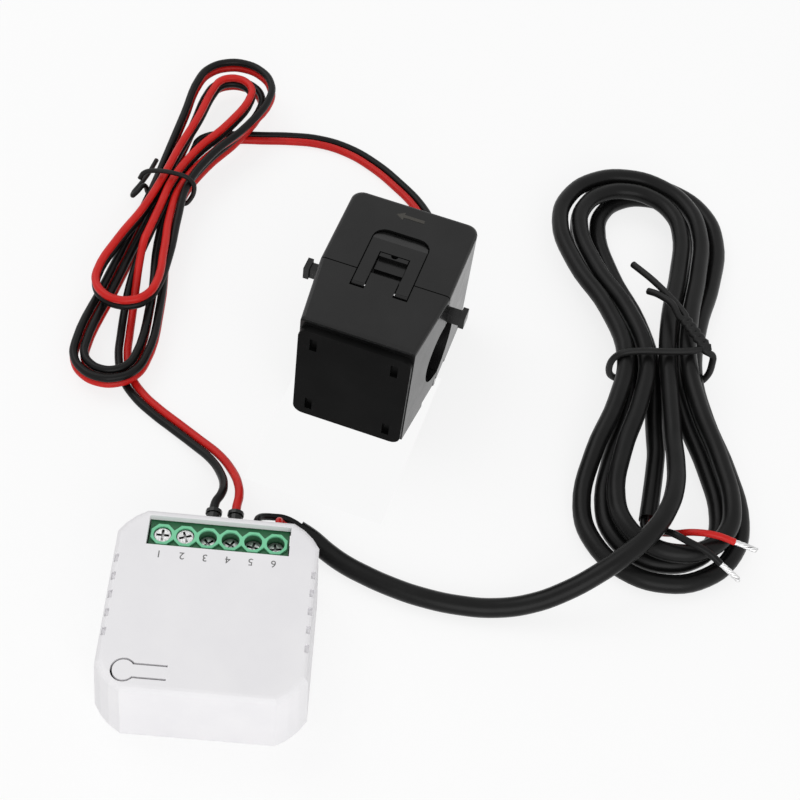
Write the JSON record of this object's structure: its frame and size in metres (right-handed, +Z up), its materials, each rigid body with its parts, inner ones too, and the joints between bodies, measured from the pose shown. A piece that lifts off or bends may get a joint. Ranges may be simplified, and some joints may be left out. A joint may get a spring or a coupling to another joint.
{
  "type": "smart_energy_monitor",
  "caption": "In-wall energy metering module with a screw terminal row, a push button, a hinged split-core current clamp on a twin lead, and a coiled two-core supply cable",
  "frame": {"origin": "centre of the module's back face", "axes": "X along the terminal row to the right, Y towards the terminal side, Z up out of the module's face"},
  "size_m": [0.1697, 0.2046, 0.0341],
  "materials": {
    "white_plastic": "satin",
    "green_plastic": "satin",
    "screw_steel": "bright",
    "tinned_metal": "satin",
    "board_laminate": "satin",
    "part_plastic": "matte",
    "black_plastic": "semi-gloss",
    "core_metal": "matte",
    "copper_wire": "satin",
    "ivory_plastic": "matte",
    "black_sheath": "satin",
    "red_sheath": "satin"
  },
  "bodies": {
    "module": {"front_cover": "white_plastic", "rear_cover": "white_plastic", "main_board": "board_laminate", "tact_switch": "part_plastic", "bulk_capacitors": "part_plastic", "fuse_resistor": "part_plastic", "varistor": "part_plastic", "metering_chips": "part_plastic", "terminal_block": "green_plastic", "terminal_cages": "tinned_metal", "radio_module": "tinned_metal", "ferrule_pins": "tinned_metal", "tinned_tips": "tinned_metal", "hinge_pins": "tinned_metal", "power_transformer": "ivory_plastic", "clamp_bobbin": "ivory_plastic", "clamp_case": "black_plastic", "lead_grommet": "black_plastic", "ferrule_collars": "black_plastic", "clamp_core": "core_metal", "clamp_winding": "copper_wire", "lead_red_feed": "red_sheath", "lead_red_hank": "red_sheath", "lead_red_tail": "red_sheath", "core_red_in": "red_sheath", "core_red_out": "red_sheath", "lead_black_feed": "black_sheath", "lead_black_hank": "black_sheath", "lead_black_tail": "black_sheath", "core_black_in": "black_sheath", "core_black_out": "black_sheath", "cable_feed": "black_sheath", "cable_hank": "black_sheath", "cable_end": "black_sheath", "lead_tie": "black_sheath", "cable_tie": "black_sheath"},
    "jaw": {"jaw_case": "black_plastic", "jaw_cap": "black_plastic", "jaw_core": "core_metal", "jaw_core_spring": "tinned_metal", "latch_pins": "tinned_metal"},
    "latch": {"latch": "black_plastic"},
    "button": {"button_tongue": "white_plastic"},
    "plunger": {"tact_plunger": "part_plastic"},
    "plate_1": {"pressure_plate_1": "tinned_metal"},
    "screw_1": {"terminal_screw_1": "screw_steel"},
    "plate_2": {"pressure_plate_2": "tinned_metal"},
    "screw_2": {"terminal_screw_2": "screw_steel"},
    "plate_3": {"pressure_plate_3": "tinned_metal"},
    "screw_3": {"terminal_screw_3": "screw_steel"},
    "plate_4": {"pressure_plate_4": "tinned_metal"},
    "screw_4": {"terminal_screw_4": "screw_steel"},
    "plate_5": {"pressure_plate_5": "tinned_metal"},
    "screw_5": {"terminal_screw_5": "screw_steel"},
    "plate_6": {"pressure_plate_6": "tinned_metal"},
    "screw_6": {"terminal_screw_6": "screw_steel"}
  },
  "joints": [
    {"name": "jaw_hinge", "type": "hinge", "parent": "module", "child": "jaw", "pos_m": [0.032, 0.084, 0.0016], "axis": [0.9613, -0.2756, 0], "range_deg": [0, 100]},
    {"name": "latch_hinge", "type": "hinge", "parent": "jaw", "child": "latch", "pos_m": [0.0309, 0.08016, 0.0332], "axis": [0.9613, -0.2756, 0], "range_deg": [0, 35], "stiffness_Nm_per_rad": 0.004, "springref_deg": -5.73},
    {"name": "button_press", "type": "hinge", "parent": "module", "child": "button", "pos_m": [-0.007, -0.0176, 0.0183], "axis": [0, -1, 0], "range_deg": [0, 2.4], "stiffness_Nm_per_rad": 0.08, "springref_deg": -1.15},
    {"name": "plunger_slide", "type": "slide", "parent": "module", "child": "plunger", "axis": [0, 0, -1], "range_m": [0, 0.000377]},
    {"name": "plate_slide_1", "type": "slide", "parent": "module", "child": "plate_1", "axis": [0, 0, -1], "range_m": [0, 0.0019]},
    {"name": "screw_turn_1", "type": "hinge", "parent": "plate_1", "child": "screw_1", "pos_m": [-0.0125, 0.0168, 0.015], "axis": [0, 0, -1], "range_deg": [0, 1368.01]},
    {"name": "plate_slide_2", "type": "slide", "parent": "module", "child": "plate_2", "axis": [0, 0, -1], "range_m": [0, 0.0019]},
    {"name": "screw_turn_2", "type": "hinge", "parent": "plate_2", "child": "screw_2", "pos_m": [-0.0075, 0.0168, 0.015], "axis": [0, 0, -1], "range_deg": [0, 1368.01]},
    {"name": "plate_slide_3", "type": "slide", "parent": "module", "child": "plate_3", "axis": [0, 0, 1], "range_m": [0, 0.0019]},
    {"name": "screw_turn_3", "type": "hinge", "parent": "plate_3", "child": "screw_3", "pos_m": [-0.0025, 0.0168, 0.015], "axis": [0, 0, 1], "range_deg": [0, 1368.01]},
    {"name": "plate_slide_4", "type": "slide", "parent": "module", "child": "plate_4", "axis": [0, 0, 1], "range_m": [0, 0.0019]},
    {"name": "screw_turn_4", "type": "hinge", "parent": "plate_4", "child": "screw_4", "pos_m": [0.0025, 0.0168, 0.015], "axis": [0, 0, 1], "range_deg": [0, 1368.01]},
    {"name": "plate_slide_5", "type": "slide", "parent": "module", "child": "plate_5", "axis": [0, 0, 1], "range_m": [0, 0.0019]},
    {"name": "screw_turn_5", "type": "hinge", "parent": "plate_5", "child": "screw_5", "pos_m": [0.0075, 0.0168, 0.015], "axis": [0, 0, 1], "range_deg": [0, 1368.01]},
    {"name": "plate_slide_6", "type": "slide", "parent": "module", "child": "plate_6", "axis": [0, 0, 1], "range_m": [0, 0.0019]},
    {"name": "screw_turn_6", "type": "hinge", "parent": "plate_6", "child": "screw_6", "pos_m": [0.0125, 0.0168, 0.015], "axis": [0, 0, 1], "range_deg": [0, 1368.01]}
  ],
  "couplings": [
    {"joint": "button_press", "follows": "plunger_slide", "rad_per_m": 111.11},
    {"joint": "screw_turn_1", "follows": "plate_slide_1", "rad_per_m": 12566},
    {"joint": "screw_turn_2", "follows": "plate_slide_2", "rad_per_m": 12566},
    {"joint": "screw_turn_3", "follows": "plate_slide_3", "rad_per_m": 12566},
    {"joint": "screw_turn_4", "follows": "plate_slide_4", "rad_per_m": 12566},
    {"joint": "screw_turn_5", "follows": "plate_slide_5", "rad_per_m": 12566},
    {"joint": "screw_turn_6", "follows": "plate_slide_6", "rad_per_m": 12566}
  ]
}
